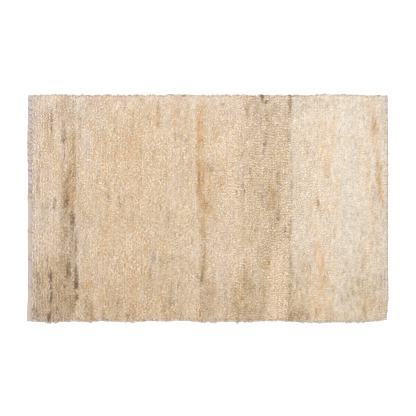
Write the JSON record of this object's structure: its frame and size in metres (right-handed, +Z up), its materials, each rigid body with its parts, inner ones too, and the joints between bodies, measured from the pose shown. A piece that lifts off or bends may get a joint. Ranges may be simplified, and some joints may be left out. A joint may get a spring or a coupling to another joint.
{
  "type": "tulu rug",
  "caption": "Long-piled rug of undyed wool, lying flat: rows of knotted locks across a woven ground, with uneven sides and flat woven ends.",
  "frame": {"origin": "middle of the underside, on the floor", "axes": "+X along the rug, from its wide woven end to its narrow one; +Y across it, along the rows of knots; +Z up, out of the pile"},
  "size_m": [2.4646, 1.5854, 0.026],
  "materials": {
    "wool": "matt hand-spun undyed wool, long knotted pile, streaked from cream to tan and grey-brown"
  },
  "bodies": {
    "root": {"rug": "wool"}
  },
  "joints": []
}
